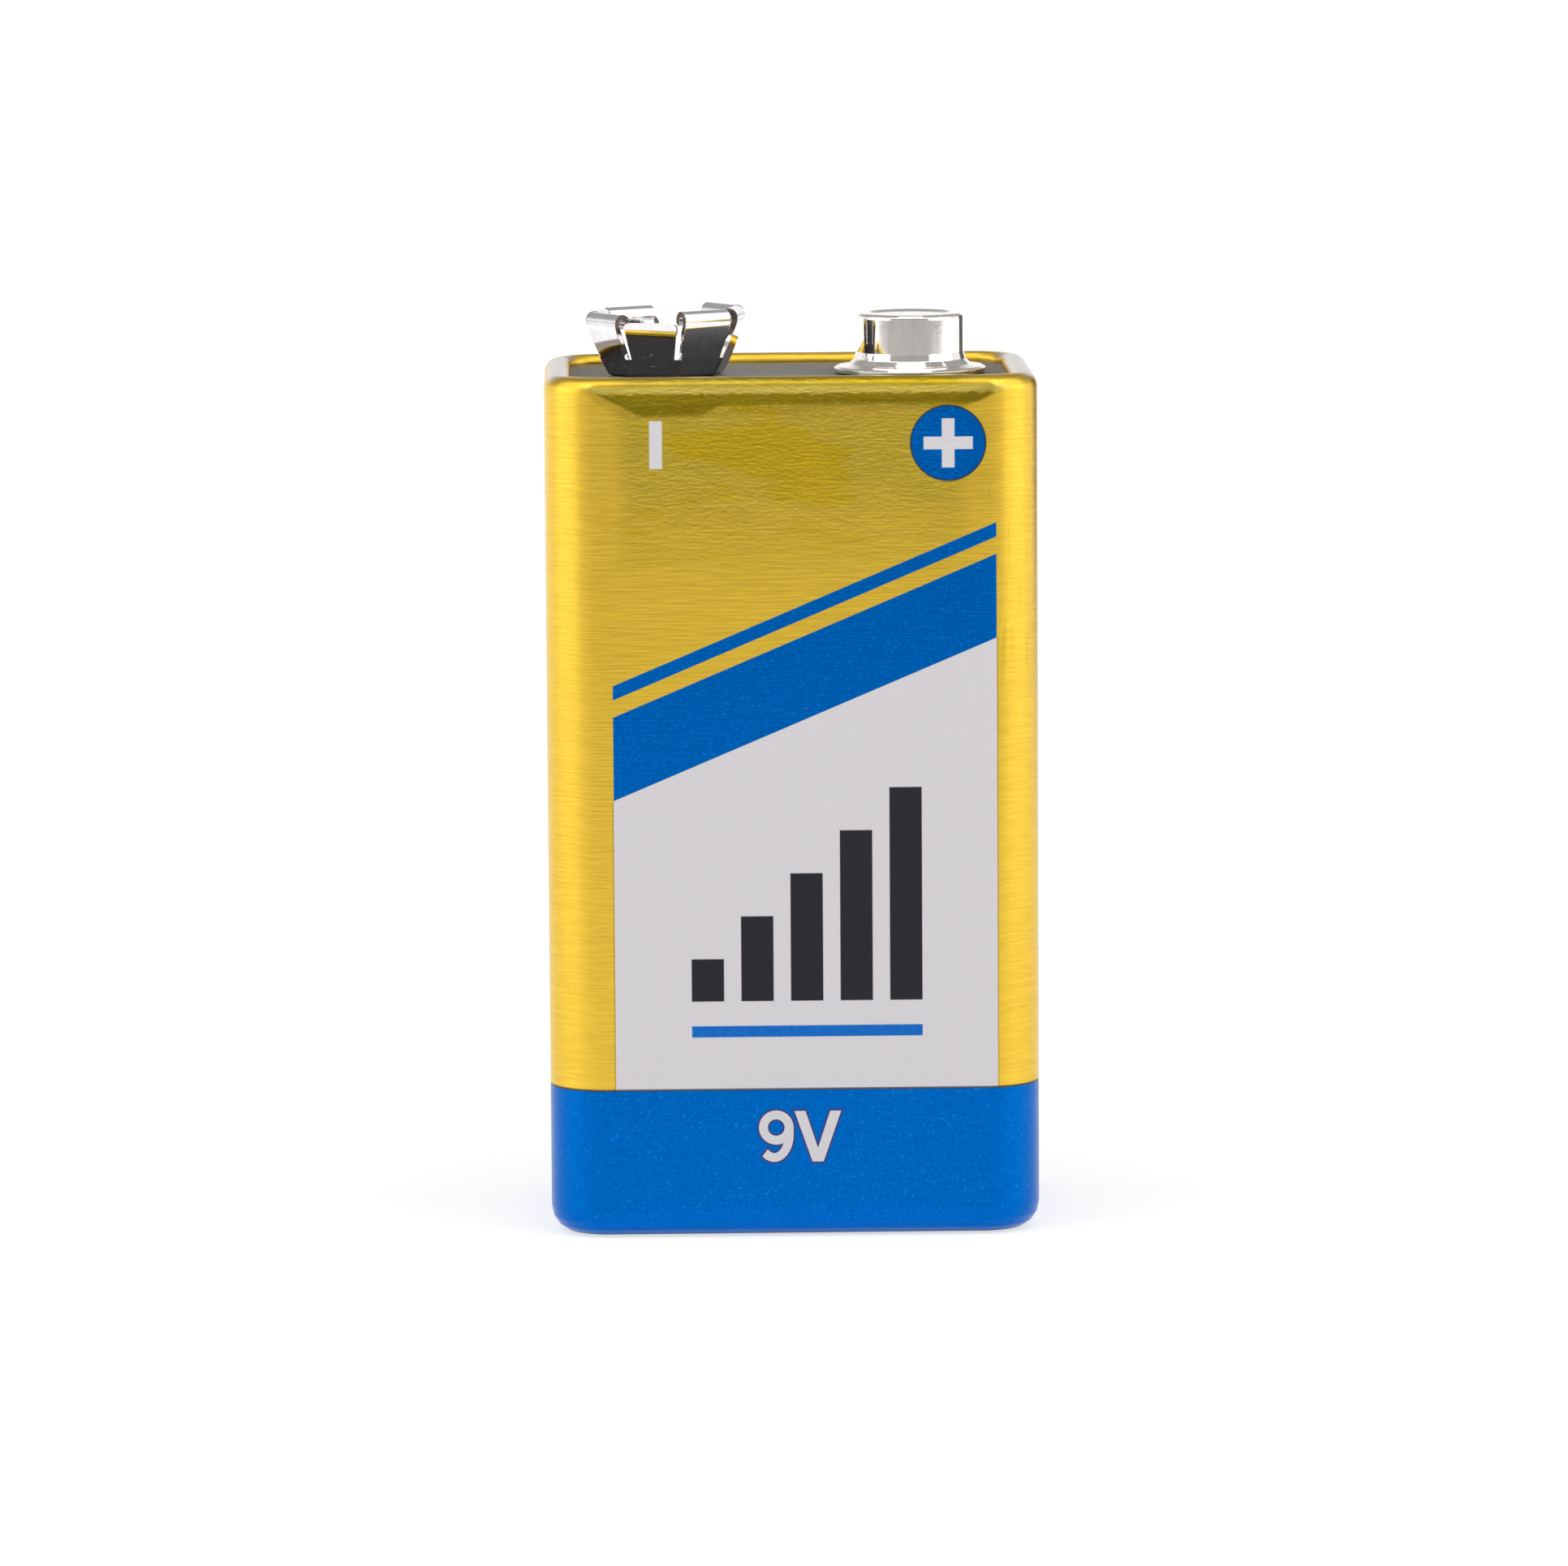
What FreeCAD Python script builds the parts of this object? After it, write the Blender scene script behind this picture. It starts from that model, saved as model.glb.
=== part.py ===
import FreeCAD, Part
import math
import os
import re

import Sketcher
from FreeCAD import Placement, Rotation, Vector

doc = FreeCAD.newDocument("nine_volt_battery")

# Sizes

SIZES = {
    "width": 25.8,  # jacket width, left to right
    "depth": 16.9,  # jacket depth, front to back
    "rim_height": 45.35,  # height of the crest of the top rim
    "wall": 0.3,  # jacket sheet thickness
    "corner": 3.0,  # outside radius of the upright corners
    "bend": 1.4,  # outside radius of the bottom bend
    "bottom_lip": 2.2,  # reach of the bottom lip under the base plate
    "shoulder": 0.75,  # outside radius of the top shoulder
    "crest": 0.1,  # flat on the crest of the top rim
    "curl": 0.5,  # radius of the curl onto the top board
    "neck_depth": 0.12,  # depth of the pressed neck
    "neck_slope": 0.55,  # width of the neck's slope
    "neck_left": 2.05,  # height of the neck below the crest, left end
    "neck_right": 1.6,  # height of the neck below the crest, right end
    "neck_foot": 17.4,  # width of the neck at its foot
    "neck_crest": 22.6,  # width of the neck at the crest
    "fit": 0.05,  # clearance of the base plate and cards inside the jacket
    "board_fit": 0.12,  # clearance of the top board inside the shoulder
    "base_thick": 1.2,  # base plate thickness
    "card_thick": 0.4,  # insulating card thickness
    "strip_thick": 0.2,  # connecting strip thickness
    "strip_width": 3.0,  # connecting strip width
    "strip_reach": 1.6,  # reach of a strip past the axis of its cell
    "cell_fit": 0.1,  # clearance of a cell, front, back and between cells
    "side_fit": 0.5,  # clearance of an end cell at the jacket's side
    "nub_radius": 1.8,  # radius of the positive nub
    "nub_height": 0.6,  # height of the positive nub
    "lead_reach": 0.95,  # reach of a lead past the axis of its cell
    "lead_rise": 2.0,  # riser of a lead from the middle of the battery
    "lead_past": 1.6,  # end of a lead past the middle under its eyelet
    "slot_fit": 0.1,  # clearance of a lead in its card slot
    "board_thick": 1.2,  # top board thickness
    "terminal_inset": 6.45,  # axis of a terminal from the jacket's side
    "barrel": 1.45,  # eyelet barrel outside radius
    "eyelet_sheet": 0.3,  # eyelet sheet thickness
    "eyelet_flange": 2.4,  # eyelet flange radius under the board
    "eyelet_head": 2.05,  # eyelet head radius over a terminal
    "eyelet_rise": 0.45,  # rise of the eyelet head
    "flange_thick": 0.25,  # eyelet flange thickness
    "barrel_fit": 0.05,  # clearance round an eyelet barrel
    "stud_radius": 2.85,  # stud radius
    "stud_height": 3.2,  # stud height above the board
    "stud_sheet": 0.2,  # stud sheet thickness
    "stud_flange": 4.05,  # stud flange radius
    "stud_edge": 0.25,  # stud top edge radius
    "dish_rim": 0.35,  # flat ring round the shallow dish in the stud's top
    "dish_slope": 0.15,  # width of the dish's slope
    "dish_depth": 0.07,  # depth of the dish
    "stud_flare": 0.75,  # flare radius from stud wall to flange
    "socket_sheet": 0.28,  # socket sheet thickness
    "socket_foot": 2.85,  # socket foot, centre to flat
    "socket_flare": 25.0,  # socket flare from upright, degrees
    "cup_height": 1.05,  # height of the closed cup under the slots
    "foot_bend": 0.4,  # radius of the bend round the socket foot
    "mouth": 4.09,  # socket mouth, centre to outside of a petal
    "petal_bend": 1.2,  # radius of the bend below a rolled edge
    "roll": 0.47,  # radius of a rolled edge
    "roll_past": 40.0,  # how far a rolled edge turns past level, degrees
    "petal_right": 3.6,  # height of the right petals above the board
    "petal_left": 3.4,  # height of the left petals above the board
    "petal_plain": 3.0,  # height of the plain petals above the board
    "plain_lean": 21.5,  # lean of a plain petal from upright, degrees
    "petal_root": 2.4,  # petal width at the slot bottoms
    "petal_wide": 2.8,  # width of a wide rolled petal
    "petal_narrow": 2.1,  # width of a narrow rolled petal
    "plain_root": 2.3,  # width of a plain petal at its root
    "plain_edge": 2.84,  # width of a plain petal at its edge
    "plain_corner": 0.3,  # corner radius of a plain petal
    "socket_turn": -12.4,  # turn of the socket about its axis, degrees
}

sheet = doc.addObject("Spreadsheet::Sheet", "Sizes")
for row, (alias, value) in enumerate(SIZES.items(), start=1):
    sheet.set("A%d" % row, alias.replace("_", " "))
    sheet.set("B%d" % row, str(value))
    sheet.setAlias("B%d" % row, alias)
doc.recompute()

ALIASES = re.compile(r"\b(%s)\b" % "|".join(SIZES))

# Heights that follow from the sizes

BASE_TOP = "(wall + base_thick)"
CARD_TOP = "(wall + base_thick + card_thick)"
CELL_FOOT = "(wall + base_thick + card_thick + strip_thick)"
BOARD_TOP = "(rim_height - curl)"
BOARD_FOOT = "(rim_height - curl - board_thick)"
TOP_CARD = "(rim_height - curl - board_thick - flange_thick - strip_thick - card_thick)"
CELL_HEAD = "(rim_height - curl - board_thick - flange_thick - 2 * strip_thick - card_thick)"
CELL_LENGTH = "(%s - %s)" % (CELL_HEAD, CELL_FOOT)

# Cells: the largest round cans that go into the jacket in two rows of three, and their places

CELL_RADIUS = "min((depth - 2 * wall - 3 * cell_fit) / 4; (width / 2 - wall - side_fit - cell_fit) / 3)"
COLUMN = "(width / 2 - wall - side_fit - %s)" % CELL_RADIUS
ROW = "(depth / 2 - wall - cell_fit - %s)" % CELL_RADIUS
TERMINAL = "(width / 2 - terminal_inset)"
LEAD_COLUMN = "((%s + %s) / 2)" % (COLUMN, TERMINAL)


# Helpers

TOUCH = 1e-4  # how far apart two heights may lie and still be one


def bound(text):
    """The expression with every size named as a cell of the sheet."""
    return ALIASES.sub(r"Sizes.\1", str(text))


def number(text):
    return float(sheet.evalExpression(bound(text)))


def bind(item, **formulas):
    for name, text in formulas.items():
        item.setExpression(name, bound(text))


def place(item, across="0", deep="0", high="0", rotation=None):
    """Give the object its own placement, bound to the sizes."""
    item.Placement = Placement(Vector(number(across), number(deep), number(high)), rotation or Rotation())
    for axis, text in (("x", across), ("y", deep), ("z", high)):
        if text != "0":
            item.setExpression(".Placement.Base." + axis, bound(text))


def pin(sketch, name, kind, geometry, point, text):
    """One coordinate of a sketch point, measured from the sketch's origin."""
    index = sketch.addConstraint(Sketcher.Constraint(kind, -1, 1, geometry, point, number(text)))
    sketch.renameConstraint(index, name)
    sketch.setExpression("Constraints." + name, bound(text))


def size_radius(sketch, name, geometry, text):
    index = sketch.addConstraint(Sketcher.Constraint("Radius", geometry, number(text)))
    sketch.renameConstraint(index, name)
    sketch.setExpression("Constraints." + name, bound(text))


def arc_between(start, end, radius, way):
    """Arc from start to end: way 1 runs anticlockwise, -1 clockwise, 2 and -2 the long way round."""
    chord = end - start
    middle = (start + end) * 0.5
    left = Vector(-chord.y, chord.x, 0).normalize()
    rise = math.sqrt(max(radius ** 2 - chord.Length ** 2 / 4, 0))
    side = 1 if way in (1, -2) else -1
    centre = middle + left * (rise * side)
    angles = [math.atan2(point.y - centre.y, point.x - centre.x) for point in (start, end)]
    if way < 0:
        angles.reverse()
    if angles[1] <= angles[0]:
        angles[1] += 2 * math.pi
    return Part.ArcOfCircle(Part.Circle(centre, Vector(0, 0, 1), radius), angles[0], angles[1])


def flats(across, high, radius, start, sweep, count):
    """Corners of a rounding made of short flats, about a centre, from one angle on by another."""
    angles = [start + sweep * step / count for step in range(count + 1)]
    return [("%s + %s * cos(%g)" % (across, radius, angle), "%s + %s * sin(%g)" % (high, radius, angle))
            for angle in angles]


def draw(sketch, corners):
    """Closed outline. A corner is (x, y) before a line, or (x, y, radius, way) before an arc."""
    points = [Vector(number(corner[0]), number(corner[1]), 0) for corner in corners]
    ends = []
    for index, corner in enumerate(corners):
        start, end = points[index], points[(index + 1) % len(points)]
        if len(corner) == 2:
            ends.append((sketch.addGeometry(Part.LineSegment(start, end)), 1, 2))
        else:
            radius, way = corner[2], corner[3]
            arc = sketch.addGeometry(arc_between(start, end, number(radius), way))
            ends.append((arc, 1, 2) if way > 0 else (arc, 2, 1))
    for index, (geometry, first, last) in enumerate(ends):
        following = ends[(index + 1) % len(ends)]
        sketch.addConstraint(Sketcher.Constraint("Coincident", geometry, last, following[0], following[1]))
        pin(sketch, "x%d" % index, "DistanceX", geometry, first, corners[index][0])
        pin(sketch, "y%d" % index, "DistanceY", geometry, first, corners[index][1])
        if len(corners[index]) > 2:
            size_radius(sketch, "r%d" % index, geometry, corners[index][2])


def draw_circle(sketch, name, across, deep, radius):
    circle = Part.Circle(Vector(number(across), number(deep), 0), Vector(0, 0, 1), number(radius))
    geometry = sketch.addGeometry(circle)
    pin(sketch, name + "_x", "DistanceX", geometry, 3, across)
    pin(sketch, name + "_y", "DistanceY", geometry, 3, deep)
    size_radius(sketch, name + "_r", geometry, radius)


def body_sketch(body, name, plane, corners=()):
    """Sketch on one of the body's own origin planes."""
    sketch = body.newObject("Sketcher::SketchObject", name)
    origin = [feature for feature in body.Origin.OriginFeatures if feature.Role == plane + "_Plane"]
    sketch.AttachmentSupport = [(origin[0], "")]
    sketch.MapMode = "FlatFace"
    if corners:
        draw(sketch, corners)
    return sketch


def body_feature(body, kind, name, sketch, **formulas):
    feature = body.newObject("PartDesign::" + kind, name)
    feature.Profile = (sketch, [""])
    sketch.Visibility = False
    bind(feature, **formulas)
    return feature


def turned(name, corners):
    """Body turned about its own upright axis."""
    body = doc.addObject("PartDesign::Body", name)
    sketch = body_sketch(body, name + "_section", "XZ", corners)
    turn = body_feature(body, "Revolution", name + "_turn", sketch)
    turn.ReferenceAxis = (sketch, ["V_Axis"])
    turn.Angle = 360
    return body


def rounded(half_across, half_deep, radius):
    """Corners of a rounded rectangle about the origin, starting on the right, half way along."""
    x, y = "(%s)" % half_across, "(%s)" % half_deep
    inner_x, inner_y = "(%s - %s)" % (x, radius), "(%s - %s)" % (y, radius)
    return [
        (x, "0"), (x, inner_y, radius, 1), (inner_x, y), ("-" + inner_x, y, radius, 1),
        ("-" + x, inner_y), ("-" + x, "-" + inner_y, radius, 1), ("-" + inner_x, "-" + y),
        (inner_x, "-" + y, radius, 1), (x, "-" + inner_y),
    ]


def lying_edges(feature, height):
    """Names of the edges that lie level at this height of the feature's own shape."""
    names = []
    for index, edge in enumerate(feature.Shape.Edges, start=1):
        box = edge.BoundBox
        if abs(box.ZMin - height) < TOUCH and abs(box.ZMax - height) < TOUCH:
            names.append("Edge%d" % index)
    return names


def rising_edges(feature):
    """Names of the edges that climb."""
    return ["Edge%d" % index for index, edge in enumerate(feature.Shape.Edges, start=1)
            if edge.BoundBox.ZLength > TOUCH]


def plate(name, thickness, gap="fit"):
    """Flat piece that fills the inside of the jacket."""
    body = doc.addObject("PartDesign::Body", name)
    inset = "wall - " + gap
    outline = rounded("width / 2 - " + inset, "depth / 2 - " + inset, "(corner - %s)" % inset)
    sketch = body_sketch(body, name + "_outline", "XY", outline)
    pad = body_feature(body, "Pad", name + "_pad", sketch, Length=thickness)
    return body, pad


def extrusion(name, sketch, length, symmetric=False, taper=None):
    solid = doc.addObject("Part::Extrusion", name)
    solid.Base = sketch
    solid.DirMode = "Normal"
    solid.Solid = True
    solid.Symmetric = symmetric
    bind(solid, LengthFwd=length)
    if taper:
        bind(solid, TaperAngle=taper)
    return solid


def free_sketch(name, corners, rotation=None, high="0"):
    sketch = doc.addObject("Sketcher::SketchObject", name)
    place(sketch, high=high, rotation=rotation)
    draw(sketch, corners)
    return sketch


# Jacket: one drawn and printed sheet, curled over the top board and bent in under the base plate

jacket = doc.addObject("PartDesign::Body", "jacket")
path = body_sketch(jacket, "jacket_path", "XY", rounded("width / 2", "depth / 2", "corner"))
curl_axis = "(width / 2 - shoulder - crest)"
section = body_sketch(jacket, "jacket_section", "XZ", [
    ("width / 2 - bottom_lip", "0"),
    *flats("width / 2 - bend", "bend", "bend", -90, 90, 4),
    *flats("width / 2 - shoulder", "rim_height - shoulder", "shoulder", 0, 90, 6),
    *flats(curl_axis, "rim_height - curl", "curl", 90, 90, 3),
    *flats(curl_axis, "rim_height - curl", "(curl - wall)", 180, -90, 1),
    *flats("width / 2 - shoulder", "rim_height - shoulder", "(shoulder - wall)", 90, -90, 2),
    *flats("width / 2 - bend", "bend", "(bend - wall)", 0, -90, 2),
    ("width / 2 - bottom_lip", "wall"),
])
shell = body_feature(jacket, "AdditivePipe", "jacket_sheet", section)
shell.Spine = (path, [""])
doc.recompute()

neck_outline = body_sketch(jacket, "neck_outline", "XZ", [
    ("-neck_foot / 2", "rim_height - neck_left"),
    ("neck_foot / 2", "rim_height - neck_right"),
    ("neck_crest / 2", "rim_height - shoulder"),
    ("neck_crest / 2", "rim_height + curl"),
    ("-neck_crest / 2", "rim_height + curl"),
    ("-neck_crest / 2", "rim_height - shoulder"),
])
bind(neck_outline, **{".AttachmentOffset.Base.z": "depth / 2"})
neck = body_feature(jacket, "Pocket", "neck_front", neck_outline, Length="neck_depth")
bind(neck, TaperAngle="-atan(neck_slope / neck_depth)")
doc.recompute()
neck_back = jacket.newObject("PartDesign::Mirrored", "neck_back")
neck_back.Originals = [neck]
neck_back.MirrorPlane = ([f for f in jacket.Origin.OriginFeatures if f.Role == "XZ_Plane"][0], [""])
jacket.Tip = neck_back

# Base plate, held by the jacket's bottom lip, and the card over it

base_plate, base_pad = plate("base_plate", "base_thick")
doc.recompute()
base_edge = base_plate.newObject("PartDesign::Chamfer", "base_edge")
base_edge.Base = (base_pad, lying_edges(base_pad, 0))
bind(base_edge, Size="bend - wall")
place(base_plate, high="wall")

bottom_card, bottom_card_pad = plate("bottom_card", "card_thick")
place(bottom_card, high=BASE_TOP)

# Cells: six sealed round cans in two rows of three, every other one upside down

CELLS = [
    ("cell_front_left", -1, -1, False), ("cell_back_left", -1, 1, True),
    ("cell_back_middle", 0, 1, False), ("cell_front_middle", 0, -1, True),
    ("cell_front_right", 1, -1, False), ("cell_back_right", 1, 1, True),
]
can_top = "(%s - nub_height)" % CELL_LENGTH
cells = []
for name, across, deep, nub_up in CELLS:
    cell = turned(name, [
        ("0", "0"),
        (CELL_RADIUS, "0"),
        (CELL_RADIUS, can_top),
        ("nub_radius", can_top),
        ("nub_radius", CELL_LENGTH),
        ("0", CELL_LENGTH),
    ])
    turn = Rotation() if nub_up else Rotation(Vector(1, 0, 0), 180)
    place(cell, "%d * %s" % (across, COLUMN) if across else "0", "%d * %s" % (deep, ROW),
          CELL_FOOT if nub_up else CELL_HEAD, turn)
    cells.append(cell)

# Strips welded between neighbouring cells

def strap(name, across, deep, high, long_way, pitch):
    strip = doc.addObject("Part::Box", name)
    reach = "%s + 2 * strip_reach" % pitch
    length, width = (reach, "strip_width") if long_way == "across" else ("strip_width", reach)
    bind(strip, Length=length, Width=width, Height="strip_thick")
    place(strip, "%s - (%s) / 2" % (across, length), "%s - (%s) / 2" % (deep, width), high)
    return strip


straps = [
    strap("bottom_strap_left", "-" + COLUMN, "0", CARD_TOP, "deep", "2 * " + ROW),
    strap("bottom_strap_middle", "0", "0", CARD_TOP, "deep", "2 * " + ROW),
    strap("bottom_strap_right", COLUMN, "0", CARD_TOP, "deep", "2 * " + ROW),
    strap("top_strap_back", "-%s / 2" % COLUMN, ROW, CELL_HEAD, "across", COLUMN),
    strap("top_strap_front", COLUMN + " / 2", "-" + ROW, CELL_HEAD, "across", COLUMN),
]

# Leads from the end cells up through the top card to the eyelets

leads = []
step = "(card_thick + strip_thick)"
LEAD_FAR = "-(%s + lead_reach)" % ROW
for name, side in (("negative_lead", -1), ("positive_lead", 1)):
    lead = doc.addObject("PartDesign::Body", name)
    bent = body_sketch(lead, name + "_side", "YZ", [
        (LEAD_FAR, "0"),
        ("-lead_rise", "0"),
        ("-lead_rise", step),
        ("lead_past", step),
        ("lead_past", step + " + strip_thick"),
        ("-lead_rise - strip_thick", step + " + strip_thick"),
        ("-lead_rise - strip_thick", "strip_thick"),
        (LEAD_FAR, "strip_thick"),
    ])
    pad = body_feature(lead, "Pad", name + "_pad", bent, Length="strip_width")
    pad.Midplane = True
    turn = Rotation(Vector(0, 0, 1), 0 if side < 0 else 180)
    place(lead, "%d * %s" % (side, LEAD_COLUMN), "0", CELL_HEAD, turn)
    leads.append(lead)

# Card over the cells, with a slot for each lead

top_card, top_card_pad = plate("top_card", "card_thick")
near = "(%s - strip_width / 2 - slot_fit)" % LEAD_COLUMN
far = "(%s + strip_width / 2 + slot_fit)" % LEAD_COLUMN
low, high = "(lead_rise - slot_fit)", "(lead_rise + strip_thick + slot_fit)"
for name, sign in (("negative_slot", "-"), ("positive_slot", "")):
    slot = body_sketch(top_card, name, "XY", [
        (sign + near, sign + low), (sign + far, sign + low),
        (sign + far, sign + high), (sign + near, sign + high),
    ])
    cut = body_feature(top_card, "Pocket", name + "_cut", slot)
    cut.Type = "ThroughAll"
    cut.Reversed = True
place(top_card, high=TOP_CARD)

# Top board under the curled rim, with the two eyelet holes

top_board, board_pad = plate("top_board", "board_thick", "board_fit")
holes = body_sketch(top_board, "eyelet_holes", "XY")
draw_circle(holes, "negative_hole", "-" + TERMINAL, "0", "barrel + barrel_fit")
draw_circle(holes, "positive_hole", TERMINAL, "0", "barrel + barrel_fit")
bores = body_feature(top_board, "Pocket", "eyelet_bores", holes)
bores.Type = "ThroughAll"
bores.Reversed = True
place(top_board, high=BOARD_FOOT)

# Eyelets that rivet the terminals to the board

eyelets = []
for name, across, seat in (("negative_eyelet", "-" + TERMINAL, "socket_sheet"),
                           ("positive_eyelet", TERMINAL, "stud_sheet")):
    eyelet = turned(name, [
        ("barrel - eyelet_sheet", "-board_thick - flange_thick"),
        ("eyelet_flange", "-board_thick - flange_thick"),
        ("eyelet_flange", "-board_thick"),
        ("barrel", "-board_thick"),
        ("barrel", seat),
        ("eyelet_head", seat),
        ("barrel - eyelet_sheet", seat + " + eyelet_rise"),
    ])
    place(eyelet, across, "0", BOARD_TOP)
    eyelets.append(eyelet)

# Positive stud: drawn cap with a flared flange hemmed under itself

flare_foot = "(stud_radius + stud_flare)"
flare_head = "(2 * stud_sheet + stud_flare)"
dish = "(stud_radius - stud_edge - dish_rim)"
stud = turned("positive_stud", [
    ("barrel + barrel_fit", "0"),
    *flats("stud_flange - stud_sheet", "stud_sheet", "stud_sheet", -90, 180, 3),
    *flats(flare_foot, flare_head, "stud_flare", 270, -90, 3),
    *flats("stud_radius - stud_edge", "stud_height - stud_edge", "stud_edge", 0, 90, 3),
    (dish, "stud_height"),
    (dish + " - dish_slope", "stud_height - dish_depth"),
    ("0", "stud_height - dish_depth"),
    ("0", "stud_height - dish_depth - stud_sheet"),
    ("stud_radius - stud_sheet", "stud_height - dish_depth - stud_sheet"),
    *flats(flare_foot, flare_head, "(stud_flare + stud_sheet)", 180, 90, 2),
    ("barrel + barrel_fit", "stud_sheet"),
])
place(stud, TERMINAL, "0", BOARD_TOP)

# Negative socket: eight-sided flared cup, slotted into six rolled petals and two plain ones

UPRIGHT = Rotation(Vector(1, 0, 0), 90)
OUTWARD = Rotation(Vector(1, 1, 1), 120)


def octagon(flat):
    """Corners of an eight-sided outline, its flats this far from the centre."""
    return [("(%s) / cos(22.5) * cos(%s)" % (flat, 22.5 + 45 * turn),
             "(%s) / cos(22.5) * sin(%s)" % (flat, 22.5 + 45 * turn)) for turn in range(8)]


outer_cup = extrusion("cup_outside", free_sketch("cup_foot", octagon("socket_foot")), "cup_height",
                      taper="socket_flare")
slant = "(socket_sheet / cos(socket_flare))"
floor = "(socket_foot + socket_sheet * tan(socket_flare) - %s)" % slant
doc.recompute()
bent_cup = doc.addObject("Part::Fillet", "cup_bend")
bent_cup.Base = outer_cup
bent_cup.Edges = [(int(edge[4:]), number("foot_bend"), number("foot_bend"))
                  for edge in lying_edges(outer_cup, 0) + rising_edges(outer_cup)]
inner_cup = extrusion("cup_inside", free_sketch("cup_floor", octagon(floor), high="socket_sheet"),
                      "cup_height - socket_sheet", taper="socket_flare")
rivet_hole = doc.addObject("Part::Cylinder", "cup_rivet_hole")
bind(rivet_hole, Radius="barrel + barrel_fit", Height="socket_sheet")
hollow = doc.addObject("Part::MultiFuse", "cup_hollow")
hollow.Shapes = [inner_cup, rivet_hole]
cup = doc.addObject("Part::Cut", "cup")
cup.Base = bent_cup
cup.Tool = hollow

root = "(socket_foot + cup_height * tan(socket_flare))"
bend_centre = "(mouth - petal_bend)"
roll_centre = "(mouth - roll)"


def rolled_profile(name, petal_height):
    """Side view of a petal: flared wall, bend to upright, edge rolled inward and down."""
    level = "(%s - roll)" % petal_height
    inner = "(petal_bend - socket_sheet)"
    inner_roll = "(roll - socket_sheet)"
    return free_sketch(name, [
        (root, "cup_height"),
        (bend_centre + " + petal_bend * cos(socket_flare)", level + " - petal_bend * sin(socket_flare)",
         "petal_bend", 1),
        ("mouth", level, "roll", 2),
        (roll_centre + " - roll * cos(roll_past)", level + " - roll * sin(roll_past)"),
        (roll_centre + " - %s * cos(roll_past)" % inner_roll, level + " - %s * sin(roll_past)" % inner_roll,
         inner_roll, -2),
        ("mouth - socket_sheet", level, inner, -1),
        (bend_centre + " + %s * cos(socket_flare)" % inner, level + " - %s * sin(socket_flare)" % inner),
        (root + " - " + slant, "cup_height"),
    ], UPRIGHT)


plain_rise = "(petal_plain - cup_height)"
plain_profile = free_sketch("plain_profile", [
    (root, "cup_height"),
    (root + " + %s * tan(plain_lean)" % plain_rise, "petal_plain"),
    (root + " + %s * tan(plain_lean) - %s" % (plain_rise, slant), "petal_plain"),
    (root + " - " + slant, "cup_height"),
], UPRIGHT)


def petal_outline(name, width):
    """Front view of a rolled petal, narrow at the slot bottoms."""
    return free_sketch(name, [
        ("-petal_root / 2", "cup_height"), ("petal_root / 2", "cup_height"),
        ("%s / 2" % width, "petal_plain - roll"), ("%s / 2" % width, "petal_right + roll"),
        ("-%s / 2" % width, "petal_right + roll"), ("-%s / 2" % width, "petal_plain - roll"),
    ], OUTWARD)


plain_outline = free_sketch("plain_outline", [
    ("-plain_root / 2", "cup_height"),
    ("plain_root / 2", "cup_height"),
    ("plain_edge / 2", "petal_plain - plain_corner", "plain_corner", 1),
    ("plain_edge / 2 - plain_corner", "petal_plain"),
    ("-plain_edge / 2 + plain_corner", "petal_plain", "plain_corner", 1),
    ("-plain_edge / 2", "petal_plain - plain_corner"),
], OUTWARD)

right_profile = rolled_profile("right_profile", "petal_right")
left_profile = rolled_profile("left_profile", "petal_left")
wide_outline = petal_outline("wide_outline", "petal_wide")
narrow_outline = petal_outline("narrow_outline", "petal_narrow")
PROFILES = {
    "right": extrusion("right_petal_sheet", right_profile, "petal_wide", True),
    "left": extrusion("left_petal_sheet", left_profile, "petal_wide", True),
    "plain": extrusion("plain_petal_sheet", plain_profile, "plain_edge", True),
}
OUTLINES = {
    "wide": extrusion("wide_petal_front", wide_outline, "mouth + roll"),
    "narrow": extrusion("narrow_petal_front", narrow_outline, "mouth + roll"),
    "plain": extrusion("plain_petal_front", plain_outline, "mouth + roll"),
}
PETALS = [
    ("plain", "plain"), ("right", "wide"), ("right", "narrow"), ("right", "wide"),
    ("plain", "plain"), ("left", "wide"), ("left", "narrow"), ("left", "wide"),
]
pieces = [cup]
for index, (profile, outline) in enumerate(PETALS):
    petal = doc.addObject("Part::MultiCommon", "petal_%d" % (index + 1))
    petal.Shapes = [PROFILES[profile], OUTLINES[outline]]
    petal.Placement = Placement(Vector(), Rotation(Vector(0, 0, 1), 45 * index))
    pieces.append(petal)
socket = doc.addObject("Part::MultiFuse", "negative_socket")
socket.Shapes = pieces
place(socket, "-" + TERMINAL, "0", BOARD_TOP, Rotation(Vector(0, 0, 1), number("socket_turn") - 90))
bind(socket, **{".Placement.Rotation.Angle": "socket_turn - 90"})

# Check and write

doc.recompute()
PARTS = [jacket, base_plate, bottom_card] + cells + straps + leads + [top_card, top_board] + eyelets
PARTS += [socket, stud]
for item in doc.Objects:
    if "Invalid" in item.State or "Error" in item.State:
        raise RuntimeError("%s did not compute: %s" % (item.Name, item.State))
os.makedirs("parts", exist_ok=True)
for part in PARTS:
    shape = part.Shape
    if not shape.isValid() or len(shape.Solids) != 1:
        raise RuntimeError("%s is not one sound solid" % part.Label)
    shape.exportStep("parts/%s.step" % part.Label)
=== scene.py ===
import math

import bpy
from mathutils import Matrix, Vector


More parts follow.
